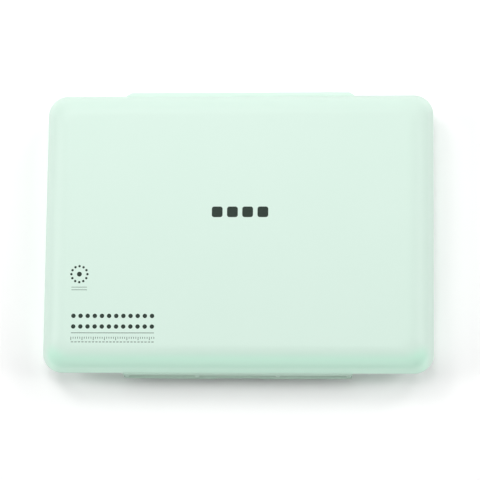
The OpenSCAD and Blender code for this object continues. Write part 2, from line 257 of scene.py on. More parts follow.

# %% [markdown]
# ## Moulded mint plastic
#
# The case is polypropylene moulded in a tool with a fine spark finish: silky, with soft highlights and no grain that
# the eye can count. Two noises make it. The fine one is the tool's texture in the bump. The broad one shifts colour and
# roughness by a hair, as cooling plastic does. Such plastic is a little translucent. On the lid's front wall, between
# rim and roll, bands on height and depth paint a glow that stands in for light shining through it from behind: a
# deeper green than the top, deepest at the turn as painted shade, and lighter near the rim. The latch and the ledge
# above it get a duller mint than the case: painted shade, for the shadow under the rim.

# %%
MINT = rgb(213, 237, 224)
MINT_PALE = rgb(217, 239, 227)
# Painted glow on the lid's front wall: deeper green at the turn, lighter at the rim, standing in for light through the
# plastic.
PAINTED_GLOW_TURN, PAINTED_GLOW_RIM = rgb(207, 249, 228), rgb(217, 254, 235)
# Painted shade on the front ledge and lugs, which stand proud of the wall under the rim.
PAINTED_SHADE_LEDGE = rgb(192, 217, 203)
# Painted shade: the latch's duller mint stands in for the shadow it hangs in under the rim.
LATCH_PAINTED_SHADE, LATCH_PAINTED_SHADE_PALE = rgb(164, 194, 176), rgb(169, 198, 181)
# Where the painted glow fades, in metres: up at the roll, down at the rim, back from the front wall, and out at its
# ends.
PAINTED_GLOW_UP, PAINTED_GLOW_DOWN, PAINTED_GLOW_BACK, PAINTED_GLOW_OUT = (0.041, 0.0462), (0.0225, 0.025), (-0.114, -0.100), (0.165, 0.174)
PAINTED_GLOW_RIM_TO_TURN = (0.0300, 0.0350)
PAINTED_SHADE_LEDGE_DEPTH = (-0.1280, -0.1270)


def mint_plastic(name, colour, pale, painted_light=False):
    """The mint finish. With painted_light, the front wall gets a painted glow between rim and roll, standing in for
    light through the translucent plastic, and what stands proud of the wall gets a painted shade."""
    finish = Finish(name, IOR=1.49)
    cloud = finish.place.noise(14.0, 3.0)
    grain = finish.place.noise(2600.0, 2.0, 0.6)
    shade = cloud.tint(colour, pale)
    if painted_light:
        along, depth, height = (finish.place.part(axis) for axis in "XYZ")
        rolled = (1 - height.band(*PAINTED_GLOW_UP)) * height.band(*PAINTED_GLOW_DOWN)
        front = (1 - depth.band(*PAINTED_GLOW_BACK)) * (1 - along.maths("ABSOLUTE", along).band(*PAINTED_GLOW_OUT))
        # Painted glow between rim and roll on the front wall, with painted shade where it is deepest at the turn.
        shade = (rolled * front).tint(shade, height.band(*PAINTED_GLOW_RIM_TO_TURN).tint(PAINTED_GLOW_RIM, PAINTED_GLOW_TURN))
        # Painted shade on what stands proud of the front wall.
        shade = (1 - depth.band(*PAINTED_SHADE_LEDGE_DEPTH)).tint(shade, PAINTED_SHADE_LEDGE)
    return finish.set(Base_Color=shade, Roughness=cloud * 0.06 + grain * 0.04 + 0.42,
                      Normal=grain.bump(0.00003, 0.35))


mint = mint_plastic("mint_plastic", MINT, MINT_PALE)
lid_mint_painted_light = mint_plastic("mint_lid_painted_light", MINT, MINT_PALE, painted_light=True)
# The latch's duller mint is painted shade.
latch_mint_painted_shade = mint_plastic("mint_latch_painted_shade", LATCH_PAINTED_SHADE, LATCH_PAINTED_SHADE_PALE)
print("made", mint.name, lid_mint_painted_light.name, latch_mint_painted_shade.name)

# %% [markdown]
# ## Closed surfaces from grids
#
# Almost every piece here is a closed grid: copies of one section stacked along a path. `Piece` collects such grids and
# flat fills and makes one mesh of them. Each closed part's volume is worked out, and where it comes out negative the
# part is turned inside out, so every face points outwards whichever way its section was drawn.

# %%
class Piece:
    """Collects grids of points, in millimetres, and makes a mesh of them."""

    def __init__(self):
        self.points, self.faces, self.count, self.part_start = [], [], 0, 0

    def grid(self, rows):
        """Adds a grid of rings (rings, points, 3) and the quads between them. Returns the rings' point numbers."""
        index = self.count + np.arange(rows.shape[0] * rows.shape[1]).reshape(rows.shape[:2])
        ahead = np.roll(index, -1, axis=1)
        quads = np.stack([index[:-1], ahead[:-1], ahead[1:], index[1:]], axis=-1).reshape(-1, 4)
        self.points.append(rows.reshape(-1, 3))
        self.faces += quads.tolist()
        self.count += rows.shape[0] * rows.shape[1]
        return index

    def close(self):
        """Ends a closed part: its volume is the sum of the tetrahedra from its first point to every face."""
        points = np.concatenate(self.points)
        part = self.faces[self.part_start:]
        triangles = np.array([(f[0], f[k], f[k + 1]) for f in part for k in range(1, len(f) - 1)])
        a, b, c = (points[triangles[:, k]] - points[triangles[0, 0]] for k in range(3))
        if np.einsum("ij,ij->i", a, np.cross(b, c)).sum() < 0:
            self.faces[self.part_start:] = [f[::-1] for f in part]
        self.part_start = len(self.faces)
        return self

    def solid(self, rows):
        """Adds a closed part: a grid with a face on each end."""
        index = self.grid(np.asarray(rows, dtype=float))
        self.faces += [index[0, ::-1].tolist(), index[-1].tolist()]
        return self.close()

    def fill(self, loops, up):
        """Fills a level area between loops of point numbers, the first of them outside, with triangles that face up
        or down."""
        points = np.concatenate(self.points)
        order = np.concatenate(loops)
        triangles = np.array(tessellate_polygon([points[loop].tolist() for loop in loops]))
        a, b, c = (points[order[triangles[:, k]]][:, :2] for k in range(3))
        turn = (b[:, 0] - a[:, 0]) * (c[:, 1] - a[:, 1]) - (b[:, 1] - a[:, 1]) * (c[:, 0] - a[:, 0])
        wrong = (turn > 0) != up
        triangles[wrong] = triangles[wrong][:, ::-1]
        self.faces += order[triangles].tolist()

    def orient(self):
        """Turns a part made of grids and fills so that its faces agree with the fills, by walking over shared edges."""
        mesh = bmesh.new()
        points = np.concatenate(self.points)
        corners = [mesh.verts.new(p) for p in points]
        for face in self.faces[self.part_start:]:
            mesh.faces.new([corners[k] for k in face])
        bmesh.ops.recalc_face_normals(mesh, faces=mesh.faces)
        mesh.verts.index_update()
        self.faces[self.part_start:] = [[v.index for v in face.verts] for face in mesh.faces]
        mesh.free()
        return self.close()

    def make(self, name, body, material, slot=None, replaced=(), sharp=35.0):
        """Makes the object, which rides on a body, takes a finish and may stand for nodes of the frame. slot is not
        used.
        """
        mesh = bpy.data.meshes.new(name)
        mesh.from_pydata((np.concatenate(self.points) * MM).tolist(), [], self.faces)
        mesh.shade_smooth()
        mesh.set_sharp_from_angle(angle=math.radians(sharp))
        mesh.materials.append(material)
        obj = add_object(name, mesh)
        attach(obj, body)
        if replaced:
            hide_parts(*replaced)
        return obj


def arc(middle, radius, start, end, steps=12):
    """Points on a circle about middle from one angle to another, in degrees."""
    angle = np.radians(np.linspace(start, end, steps))
    return np.stack([middle[0] + radius * np.cos(angle), middle[1] + radius * np.sin(angle)], axis=1)


def rounded_loop(corners, steps=4, closed=True):
    """Rounds a section's corners, each (x, z, radius). The arc leaves both sides at radius / tan(half the angle) from
    the corner, and its middle lies on the bisector at radius / sin(half the angle)."""
    points, last = [], len(corners) - 1
    for k, (x, z, radius) in enumerate(corners):
        here = np.array([x, z], dtype=float)
        if radius == 0 or (not closed and k in (0, last)):
            points.append(here)
            continue
        before = np.array(corners[k - 1][:2]) - here
        after = np.array(corners[(k + 1) % (last + 1)][:2]) - here
        before, after = before / np.linalg.norm(before), after / np.linalg.norm(after)
        half = math.acos(np.clip(before @ after, -1, 1)) / 2
        middle = here + (before + after) / np.linalg.norm(before + after) * radius / math.sin(half)
        start, end = (here + side * radius / math.tan(half) - middle for side in (before, after))
        turn = math.atan2(start[0] * end[1] - start[1] * end[0], start @ end)
        for t in np.linspace(0, turn, steps + 1):
            points.append(middle + [start[0] * math.cos(t) - start[1] * math.sin(t),
                                    start[0] * math.sin(t) + start[1] * math.cos(t)])
    return np.array(points)


def bent_line(corners):
    """The same for a section that is open: its two ends stay as they are."""
    return rounded_loop(corners, closed=False)


print("a square with round corners has", len(rounded_loop([(0, 0, 1), (9, 0, 1), (9, 9, 1), (0, 9, 1)])), "points")

# %% [markdown]
# ## A section carried round a rounded rectangle
#
# Lid, base, cups, tray and wells all have this plan. Each ring has the same number of points, set close together in the
# corners and spread out along the sides, so that rings of any size join into clean quads.

# %%
def rings(width, depth, section, corner_radius, centre=(0.0, 0.0), per_corner=12, per_side=7):
    """Carries a section of (distance in, height) round a rounded rectangle. corner_radius gives a ring's radius from
    its distance in. Points along a side are spaced by the cosine, which crowds them towards the corners."""
    section = np.asarray(section, dtype=float)
    inset, height = section[:, :1], section[:, 1:]
    radius = np.clip(corner_radius(inset), 0.2, np.minimum(width, depth) / 2 - inset - 0.01)
    half_w, half_d = width / 2 - inset - radius, depth / 2 - inset - radius
    turn = np.linspace(0, math.pi / 2, per_corner + 1)
    share = (1 - np.cos(np.linspace(0, math.pi, per_side + 2)[1:-1])) / 2
    xs, ys = [], []
    for quarter, (sx, sy) in enumerate(((1, 1), (-1, 1), (-1, -1), (1, -1))):
        angle = turn + quarter * math.pi / 2
        x, y = sx * half_w + radius * np.cos(angle), sy * half_d + radius * np.sin(angle)
        next_x = (sx if quarter % 2 else -sx) * half_w + radius * math.cos(angle[-1])
        next_y = (-sy if quarter % 2 else sy) * half_d + radius * math.sin(angle[-1])
        xs += [x, x[:, -1:] + (next_x - x[:, -1:]) * share]
        ys += [y, y[:, -1:] + (next_y - y[:, -1:]) * share]
    x, y = np.concatenate(xs, axis=1) + centre[0], np.concatenate(ys, axis=1) + centre[1]
    return np.stack([x, y, np.broadcast_to(height, x.shape)], axis=-1)


def case_corner(inset):
    """Plan radius of a ring: it shrinks more slowly than the ring moves in, which keeps the corners full."""
    return CORNER_R - 0.3 * inset


print("a ring has", rings(CASE_W, CASE_D, [(0.0, 0.0)], case_corner).shape[1], "points")

# %% [markdown]
# ## A section run along the rim
#
# Ledges, knuckles, hooks and ribs are short straight extrusions on the rim. Moulded ends are never knife-sharp, so the
# last steps of the run shrink the section a little along its own normals, which rounds the end.

# %%
def offset_loop(section, distance):
    """Moves every point of a closed section in along the mean normal of its two sides."""
    ahead, behind = np.roll(section, -1, axis=0) - section, section - np.roll(section, 1, axis=0)
    normal = sum(np.stack([-side[:, 1], side[:, 0]], axis=1) / np.linalg.norm(side, axis=1)[:, None]
                 for side in (ahead, behind))
    normal /= np.linalg.norm(normal, axis=1)[:, None]
    area = (section[:, 0] * np.roll(section[:, 1], -1) - section[:, 1] * np.roll(section[:, 0], -1)).sum()
    return section + normal * distance * np.sign(area)


def rim_run(side, section, start, end, edge=0.3, slant=0.0, steps=4):
    """Runs a section of (distance out, height) along the rim from start to end. side is back, front, right or left.
    The ends are rounded by edge, and slant leans them in as the section goes out."""
    section = np.asarray(section, dtype=float)
    angle = np.linspace(0, math.pi / 2, steps + 1)
    rows = []
    for sign, place, order in ((-1, start, 1), (1, end, -1)):
        for a in angle[::order]:
            ring = offset_loop(section, edge * (1 - math.sin(a)))
            along = place - sign * edge * (1 - math.cos(a))
            lean = sign * slant * np.maximum(ring[:, 0], 0) / STRIP_OUT
            rows.append(np.column_stack([along - lean, ring]))
    run = np.stack(rows)
    along, out, height = run[..., 0], run[..., 1], run[..., 2]
    return {"back": np.stack([along, CASE_D / 2 + out, height], axis=-1),
            "front": np.stack([along, -CASE_D / 2 - out, height], axis=-1),
            "right": np.stack([CASE_W / 2 + out, along, height], axis=-1),
            "left": np.stack([-CASE_W / 2 - out, along, height], axis=-1)}[side]


print("a run has", len(rim_run("back", [(0, 0), (9, 0), (9, 9), (0, 9)], 0.0, 50.0)), "rings, crowded at its ends")

# %% [markdown]
# ## The lid
#
# On the real lid the wall leans in from the rim, turns over a wide roll and runs out flat. A bevelled box would show
# one highlight of constant width. Here the section is the true one. A wall, a blend and the roll meet without a crease,
# because the blend's circle touches the wall's line and the roll's circle from inside: its middle lies its own radius
# in from the line, and at the difference of the radii from the roll's middle.

# %%
def shell_outline(rim_in, flat_in, height, roll_r, blend_r):
    """Section of a shell from rim to flat as (distance in, height above the parting line), with outward normals."""
    up, inward = np.array([DRAFT, 1.0]) / LEAN, np.array([1.0, -DRAFT]) / LEAN
    roll_middle = np.array([flat_in, height - roll_r])
    foot = np.array([rim_in, 0.0])
    gap = foot + blend_r * inward - roll_middle
    run = -gap @ up + math.sqrt((gap @ up) ** 2 - gap @ gap + (roll_r - blend_r) ** 2)
    blend_middle = foot + blend_r * inward + run * up
    out = blend_middle - roll_middle
    wall_angle = math.degrees(math.atan2(-inward[1], -inward[0]))
    join_angle = math.degrees(math.atan2(out[1], out[0]))
    points = np.concatenate([foot + up * run * np.linspace(0, 0.94, 6)[:, None],
                             arc(blend_middle, blend_r, wall_angle, join_angle, 10),
                             arc(roll_middle, roll_r, join_angle, 90, 22)[1:]])
    angle = np.radians(np.concatenate([np.full(6, wall_angle), np.linspace(wall_angle, join_angle, 10),
                                       np.linspace(join_angle, 90, 22)[1:]]))
    return points, np.stack([np.cos(angle), np.sin(angle)], axis=1)


LID_H = CASE_H - PART_Z
LID_FLAT_IN, LID_ROLL_R, LID_BLEND_R = 23.3, 22.0, 13.0
LID_CROWN = 0.5
INK_ROOM = 0.04
FLAT_INSETS = np.array([26.0, 34.0, 48.0, 66.0, 88.0, 112.0, 124.0])

outside, normals = shell_outline(0.0, LID_FLAT_IN, LID_H, LID_ROLL_R, LID_BLEND_R)
inside = outside - normals * WALL


def lid_section():
    """The lid's closed section: along the ceiling inside, down its wall, round the rim and up over the roll."""
    rim = bent_line([(*inside[1], 0), (WALL * LEAN, 0.0, 0.3), (0.0, 0.0, 0.45), (*outside[1], 0)])
    ceiling = np.column_stack([FLAT_INSETS[::-1], np.full(len(FLAT_INSETS), LID_H - WALL)])
    top = np.column_stack([FLAT_INSETS, np.full(len(FLAT_INSETS), LID_H)])
    return np.concatenate([ceiling, inside[:0:-1], rim[1:-1], outside[1:], top])


def crowned(points):
    """Lowers the lid's top by the room for the ink, and towards its edges by the product of two parabolas. Both count
    the more the higher a point is."""
    x, y = np.clip(points[..., 0] / (CASE_W / 2), -1, 1), np.clip(points[..., 1] / (CASE_D / 2), -1, 1)
    drop = (INK_ROOM + LID_CROWN * (1 - (1 - x * x) * (1 - y * y))) * (points[..., 2] - PART_Z) / LID_H
    return points - drop[..., None] * [0.0, 0.0, 1.0]


section = lid_section() + [0.0, PART_Z]
lid = Piece().solid(crowned(rings(CASE_W, CASE_D, section, case_corner, per_corner=16, per_side=11)))
print("lid section:", len(section), "points, top", round(float(section[:, 1].max()), 2))

# %% [markdown]
# ## What the lid carries on its rim
#
# Behind, a ledge with slanted ends covers the hinge, runs into the wall in a hollow curve that holds no dark line, and
# carries two long knuckles. In front, a thinner ledge and four lugs hold the latch's pin. Inside, six hooks keep the
# palette. On the real lid they are one moulding with the shell, so they go into the same mesh.

# %%
HINGE_LEDGE = [(-1.4, 20.4, 0), (2.8, 20.4, 0.3), (2.8, 23.3, 0.5), (2.1, 24.0, 0.6), (0.2, 24.2, 1.0),
               (-0.7, 25.0, 1.0), (-1.3, 26.4, 0), (-2.0, 26.4, 0)]
LATCH_LEDGE = [(-1.4, 20.75, 0), (1.5, 20.75, 0.3), (1.5, 22.6, 0.4), (0.9, 23.2, 0.4), (-1.4, 23.2, 0)]
KNUCKLE_ENDS = (8.4, 83.8, 98.0)
KNUCKLE_GAP = 0.4
HINGE_SLANT, LATCH_SLANT = 4.6, 4.4
LUG_X, LUG_W = (36.0, 99.0), 3.2
HOOK = [(-2.2, 24.6, 0), (-2.2, 26.0, 0), (-9.5, 26.0, 0.5), (-9.5, 24.6, 0.4)]
HOOK_W = 14.0
HOOK_STARTS = (("back", -90.0), ("front", -90.0), ("back", 76.0), ("front", 76.0), ("left", -7.0), ("right", -7.0))

lid.solid(rim_run("back", rounded_loop(HINGE_LEDGE), -STRIP_W / 2, STRIP_W / 2, slant=HINGE_SLANT))
lid.solid(rim_run("front", rounded_loop(LATCH_LEDGE), -STRIP_W / 2, STRIP_W / 2, slant=LATCH_SLANT))
lid_knuckle = np.concatenate([[(2.8, 21.5)], arc(HINGE_AXIS, BARREL_R, 0, -243, 30), [(-0.4, 21.5)]])
lug = np.concatenate([[(2.45, 21.5)], arc(LATCH_AXIS, LATCH_BARREL_R, 0, -180, 20), [(-0.45, 21.5)]])
for sign in (-1, 1):
    lid.solid(rim_run("back", lid_knuckle, *sorted((sign * KNUCKLE_ENDS[0], sign * KNUCKLE_ENDS[1]))))
    for x in LUG_X:
        lid.solid(rim_run("front", lug, sign * x - LUG_W / 2, sign * x + LUG_W / 2, 0.25))
for side, start in HOOK_STARTS:
    lid.solid(rim_run(side, rounded_loop(HOOK), start, start + HOOK_W))
lid_shell = lid.make("lid", "lid", lid_mint_painted_light, "mint_case", ["lid_shell"])
print("lid:", len(lid_shell.data.polygons), "faces")

# %% [markdown]
# ## The print on the lid
#
# The real lid is screen-printed in one dark ink, in the middle and near a corner. Those places hold plain signs for
# what is inside: four pans, a colour circle, two rows of twelve dots, rules, a scale of ticks and a row of dashes. A
# mask in the plastic's shader would do, but would blur close up, so each sign is a film of ink that lies on the
# crowned lid: its outline, once a little inside the plastic and once just above it.

# %%
INK_T, INK_ROOT = 0.03, -0.06
PANS = [(-18.0 + 13.6 * k, 15.4) for k in range(4)]
DOTS = [(-145.0 + 6.38 * column, row) for row in (-78.4, -87.9) for column in range(12)]
HUB = (-140.5, -40.9)
CIRCLE = [(HUB[0] + 7.2 * math.sin(k * math.pi / 6), HUB[1] + 7.2 * math.cos(k * math.pi / 6)) for k in range(12)]
RULES = [(-109.9, -94.35, 74.2, 0.5), (-140.4, -53.4, 14.0, 0.4), (-140.4, -55.8, 14.0, 0.4)]
TICKS = [(-146.9 + 2.0 * k, -98.1, 0.5, 3.0 if k % 5 == 0 else 1.7) for k in range(38)]
DASHES = [(-145.8 + 3.12 * k, -102.4, 2.1, 0.6) for k in range(24)]


def patch(middle, width, height, radius, steps):
    """Outline of a rounded rectangle about a middle: four quarter circles whose middles stand a radius in."""
    half_w, half_h = width / 2 - radius, height / 2 - radius
    return np.concatenate([arc((middle[0] + sx * half_w, middle[1] + sy * half_h), radius, start, start + 90, steps)
                           for sx, sy, start in ((1, 1, 0), (-1, 1, 90), (-1, -1, 180), (1, -1, 270))])


signs = [patch(place, size, size, radius, steps) for places, size, radius, steps in (
    (PANS, 9.6, 2.1, 6), (DOTS, 4.0, 1.99, 5), (CIRCLE, 2.2, 1.09, 4), ([HUB], 4.4, 2.19, 5)) for place in places]
signs += [patch((x, y + (2.0 - tall) / 2), wide, tall, 0.1, 3) for x, y, wide, tall in RULES + TICKS + DASHES]
lid_print = Piece()
for outline in signs:
    film = [np.column_stack([outline, np.full(len(outline), CASE_H + lift)]) for lift in (INK_ROOT, INK_T)]
    lid_print.solid(crowned(np.stack(film)))

ink = Finish("screen_ink", IOR=1.42)
mesh_marks = ink.place.noise(900.0, 2.0)
ink.set(Base_Color=mesh_marks.band(0.3, 0.7).tint(rgb(24, 43, 33), rgb(34, 54, 44)), Roughness=mesh_marks * 0.1 + 0.5,
        Normal=mesh_marks.bump(0.00001, 0.5))
lid_print.make("lid_print.ink", "lid", ink.material)
print("print:", len(signs), "films of ink,", INK_T, "mm thick")

# %% [markdown]
# ## The base
#
# The base is the lid's mirror with a smaller roll. Its section also has the tongue that slips inside the lid, the
# little step under it and, on the floor, the foot ring that the box stands on.

# %%
BASE_IN = 0.6
FOOT_H = 1.0
BASE_H = PART_Z - FOOT_H
BASE_FLAT_IN, BASE_ROLL_R, BASE_BLEND_R = 17.1, 13.0, 8.0
BASE_FLATS = np.array([23.0, 26.0, 34.0, 48.0, 66.0, 88.0, 112.0, 124.0])


def base_section():
    """The base's closed section as (distance in, depth below the parting line): over the floor inside, up its wall,
    round step, tongue and rim, down outside and in over the foot ring."""
    outer, normal = shell_outline(BASE_IN, BASE_FLAT_IN, BASE_H, BASE_ROLL_R, BASE_BLEND_R)
    inner = outer - normal * WALL
    depth = BASE_H - WALL
    step = 1.8
    wall_at_step = BASE_IN + WALL * LEAN + DRAFT * step
    rim = bent_line([(*inner[3], 0), (wall_at_step, step, 0), (4.4, step, 0.2), (4.4, -2.0, 0.35),
                     (3.3, -2.0, 0.35), (3.3, 0.0, 0.1), (BASE_IN, 0.0, 0.45), (*outer[1], 0)])
    foot = bent_line([(17.3, BASE_H, 0), (17.7, BASE_H, 0.1), (17.7, PART_Z, 0.4), (20.7, PART_Z, 0.4),
                      (20.7, BASE_H, 0.1), (21.1, BASE_H, 0)])
    floor_in = np.column_stack([BASE_FLATS[::-1], np.full(len(BASE_FLATS), depth)])
    floor_out = np.column_stack([BASE_FLATS, np.full(len(BASE_FLATS), BASE_H)])
    return np.concatenate([floor_in, inner[:3:-1], rim[1:-1], outer[1:], foot, floor_out])


section = base_section() * [1.0, -1.0] + [0.0, PART_Z]
base = Piece().solid(rings(CASE_W, CASE_D, section, case_corner, per_corner=16, per_side=11))
print("base section:", len(section), "points, foot at", round(float(section[:, 1].min()), 2))

# %% [markdown]
# ## What the base carries
#
# Three knuckles turn on the hinge pins. Each has a heel behind it that the lid's ledge comes to rest on at a hundred
# and fifteen degrees, so that the open lid stands without straining the pins. In front are two catches under which the
# latch hooks, and round the inside stand thin ribs that hold up the tray.

# %%
BASE_KNUCKLE = np.concatenate([
    [(0.6, 14.9)], arc(HINGE_AXIS, BARREL_R, -90, 164, 30),
    bent_line([(-1.6, 18.2, 0), (-3.2, 18.2, 0), (-5.4, 10.6, 0), (-3.8, 10.6, 0), (2.8, 12.6, 0.4),
               (2.8, 13.5, 0.3), (0.6, 14.5, 0.4), (0.6, 15.0, 0)])[1:-1]])
CATCH = [(-5.6, 8.5, 0), (-4.2, 11.0, 0), (0.6, 11.0, 0.2), (0.6, 12.2, 0.3), (-3.2, 14.6, 0), (-4.8, 14.6, 0)]
POST = [(-3.4, 20.0, 0), (-12.2, 20.0, 0.6), (-12.2, 3.4, 0), (-10.5, 3.4, 0), (-7.0, 8.0, 0), (-4.6, 14.0, 0)]
CATCH_ENDS = ((-70.0, -30.0), (30.0, 70.0))
BACK_POSTS, FRONT_POSTS, SIDE_POSTS = (-118.0, -60.0, 0.0, 60.0, 118.0), (-118.0, 118.0), (-70.0, 0.0, 70.0)

for start, end in ((-KNUCKLE_ENDS[2], -KNUCKLE_ENDS[1] - KNUCKLE_GAP), (-8.0, 8.0),
                   (KNUCKLE_ENDS[1] + KNUCKLE_GAP, KNUCKLE_ENDS[2])):
    base.solid(rim_run("back", BASE_KNUCKLE, start, end, 0.25))
for start, end in CATCH_ENDS:
    base.solid(rim_run("front", rounded_loop(CATCH), start, end, 0.25))
for side, places in (("back", BACK_POSTS), ("front", FRONT_POSTS), ("left", SIDE_POSTS), ("right", SIDE_POSTS)):
    for place in places:
        base.solid(rim_run(side, rounded_loop(POST), place - 1, place + 1, 0.25, steps=2))
base_shell = base.make("base", "base", mint, "mint_case", ["base_shell"])
print("base:", len(base_shell.data.polygons), "faces")

# %% [markdown]
# ## The latch flap
#
# The flap is a leaning strip whose lower edge bows down to the middle. It hangs by three barrels between the lid's
# lugs. A scoop for a fingertip is pressed into its lower edge, and two hooks on its back snap under the catches. Every
# section along it is worked out from its own lower edge, so bow, slanted ends and scoop are one smooth surface.

# %%
FLAP_HALF = 102.1
FLAP_LOW, FLAP_BOW = 7.0, 3.0
FLAP_TOP, FLAP_ROOT_OUT = 16.9, 2.45
FLAP_T = 1.5
FLAP_FULL_H = 6.9
FLAP_STEPS = np.array([0.35, 0.8, 1.4, 2.0, 2.6, 3.2, 3.8])
SCOOP_W, SCOOP_DEPTH, SCOOP_H = 43.0, 0.75, 3.4


def flap_out(height):
    """How far out the flap's front face stands at a height: it leans out towards its lower edge."""
    share = (LATCH_AXIS[1] - height) / (LATCH_AXIS[1] - FLAP_LOW)
    return FLAP_ROOT_OUT + (STRIP_OUT - FLAP_ROOT_OUT) * share


def flap_rows():
    """Rows across the flap. The lower edge is FLAP_LOW + bow * (x / half)^2, and rises over the last 3.5 mm, where the
    steps up the face are squeezed into what height is left. The scoop moves the front face in by its depth times two
    smooth steps, across and up."""
    x = np.concatenate([-FLAP_HALF + np.array([0.0, 0.1, 0.3, 0.6, 1.2, 2.4, 3.6, 6.0]), np.linspace(-92, 92, 117)])
    x = np.concatenate([x, -x[7::-1]])
    end = np.clip((FLAP_HALF - np.abs(x)) / 0.6, 0, 1)
    shrink = 0.3 * (1 - np.sqrt(1 - (1 - end) ** 2))
    rise = 2.8 * np.clip(1 - (FLAP_HALF - np.abs(x)) / 3.5, 0, 1) ** 2
    low = FLAP_LOW + FLAP_BOW * (x / FLAP_HALF) ** 2 + rise + shrink
    across = np.clip((SCOOP_W / 2 - np.abs(x)) / 3.0, 0, 1)
    across = across * across * (3 - 2 * across)
    rows = []
    for place, bottom, inset, scoop in zip(x, low, shrink, across):
        top = FLAP_TOP - inset
        squeeze = min(1.0, (top - bottom) / FLAP_FULL_H)
        heights = np.concatenate([bottom + FLAP_STEPS * squeeze, [top - 2.5 * squeeze, top - 0.3]])
        up = np.clip(1 - (heights - bottom) / SCOOP_H, 0, 1)
        front = flap_out(heights) - inset - scoop * SCOOP_DEPTH * up * up * (3 - 2 * up)
        back = flap_out(heights) - FLAP_T + inset
        low_out = front[0] - 0.1
        loop = np.concatenate([
            np.column_stack([front, heights]), [(front[-1] - 0.1, top - 0.08), (front[-1] - 0.3, top)],
            [(back[-1] + 0.3, top), (back[-1] + 0.1, top - 0.08)], np.column_stack([back, heights])[::-1],
            [(back[0] + 0.1, bottom + 0.1), (back[0] + 0.35, bottom)],
            [(low_out - 0.25, bottom), (low_out, bottom + 0.1)]])
        rows.append(np.column_stack([np.full(len(loop), place), -CASE_D / 2 - loop[:, 0], loop[:, 1]]))
    return np.stack(rows)


flap = Piece().solid(flap_rows())
web = np.concatenate([[(2.35, 15.6)], [(2.35, 18.0)], arc(LATCH_AXIS, LATCH_BARREL_R, -20, 200, 26), [(1.05, 16.6)],
                      [(1.05, 15.6)]])
for start, end in ((-97.0, -LUG_X[0] - 2), (-LUG_X[0] + 2, LUG_X[0] - 2), (LUG_X[0] + 2, 97.0)):
    flap.solid(rim_run("front", web, start, end, 0.25))
flap_hook = rounded_loop([(1.7, 10.8, 0), (-0.4, 10.8, 0.15), (-0.4, 10.0, 0.15), (1.7, 8.9, 0)])
for start, end in CATCH_ENDS:
    flap.solid(rim_run("front", flap_hook, start + 2, end - 2, 0.2))
latch = flap.make("latch", "latch", latch_mint_painted_shade, "mint_case", ["latch_flap"])
print("flap:", len(latch.data.polygons), "faces")

# %% [markdown]
# ## Pins
#
# The hinge turns on two steel pins and the latch on one. A cut pin has a slightly domed end, which shows as a bright
# dot in the last knuckle. The steel is drawn wire, so its finish streaks along its length.

# %%
def drawn_steel(name, colour, streak):
    finish = Finish(name, Metallic=1.0, Base_Color=colour)
    grain = finish.place.stretched(*streak).noise(1800.0, 2.0)
    return finish.set(Roughness=grain * 0.16 + 0.2, Normal=grain.bump(0.00001, 0.4))


pin_steel = drawn_steel("drawn_steel", rgb(206, 208, 212), (0.05, 1.0, 1.0))


def pin(name, body, side, axis, radius, start, end, node):
    """A pin along X: circles whose radius falls to a third over the last half radius at each end."""
    angle = np.radians(np.linspace(0, 90, 6))
    drop = radius * 0.5
    along = np.concatenate([start + drop * (1 - np.sin(angle)), end - drop * (1 - np.sin(angle[::-1]))])
    dome = 1 - 0.66 * (1 - np.sin(angle))
    around = radius * np.concatenate([dome, dome[::-1]])
    turn = np.linspace(0, 2 * math.pi, 24, endpoint=False)
    y = (CASE_D / 2 + axis[0]) * (1 if side == "back" else -1) + around[:, None] * np.cos(turn)
    z = axis[1] + around[:, None] * np.sin(turn)
    rows = np.stack([np.broadcast_to(along[:, None], y.shape), y, z], axis=-1)
    return Piece().solid(rows).make(name, body, pin_steel, "pin_steel", [node])


pin("hinge_pin.left", "base", "back", HINGE_AXIS, 1.0, -98.35, -2.0, "hinge_pin_left")
pin("hinge_pin.right", "base", "back", HINGE_AXIS, 1.0, 2.0, 98.35, "hinge_pin_right")
pin("latch_pin.steel", "lid", "front", LATCH_AXIS, 0.7, -100.9, 100.9, "latch_pin")
print("made three pins")

# %% [markdown]
# ## White plastics
#
# The tray and the palette are white styrene, the cups a softer, slightly milky polypropylene. White plastic is never
# pure white: it takes a hair of warmth or blue, and its gloss breaks up where it was ejected from the tool.

# %%
def white_plastic(name, colour, shade, roughness, grain_depth):
    finish = Finish(name, IOR=1.5)
    cloud = finish.place.noise(22.0, 3.0)
    grain = finish.place.noise(1900.0, 2.0, 0.6)
    return finish.set(Base_Color=cloud.tint(colour, shade), Roughness=cloud * 0.1 + grain * 0.06 + roughness,
                      Normal=grain.bump(0.00002, grain_depth))


tray_white = white_plastic("tray_styrene", rgb(240, 241, 240), rgb(234, 236, 236), 0.36, 0.5)
palette_white = white_plastic("palette_styrene", rgb(246, 246, 244), rgb(241, 242, 240), 0.16, 0.12)
cup_white = white_plastic("cup_plastic", rgb(243, 244, 243), rgb(238, 240, 240), 0.3, 0.25)
print("made three whites")

# %% [markdown]
# ## The tray
#
# A vacuum-formed or moulded plate with a window for each cup, so that a cup can be lifted out. Its flat faces are
# filled between loops and every edge is a small rolled grid. The first ring of each edge lies in the flat, a little way
# off: it keeps the shading of the flat from bending at the edge. In front the plate dips into a trough for brushes.

# %%
TRAY_Z, SHEET_T = 20.0, 1.6
TRAY_TOP = TRAY_Z + SHEET_T
TRAY_IN = 5.0
CUP_PITCH, CUPS_BACK_Y = 52.5, 91.0
WINDOW_W = 48.0
TROUGH_Y, TROUGH_Z, TROUGH_W, TROUGH_D, TROUGH_T = -106.5, 12.6, 206.0, 24.0, 1.2
cup_places = [((k % 6 - 2.5) * CUP_PITCH, CUPS_BACK_Y - k // 6 * CUP_PITCH) for k in range(24)]


def hollow_corner(radius):
    """Ring radius for a hole: it grows as a ring moves out, which is a negative distance in."""
    return lambda inset: radius - inset


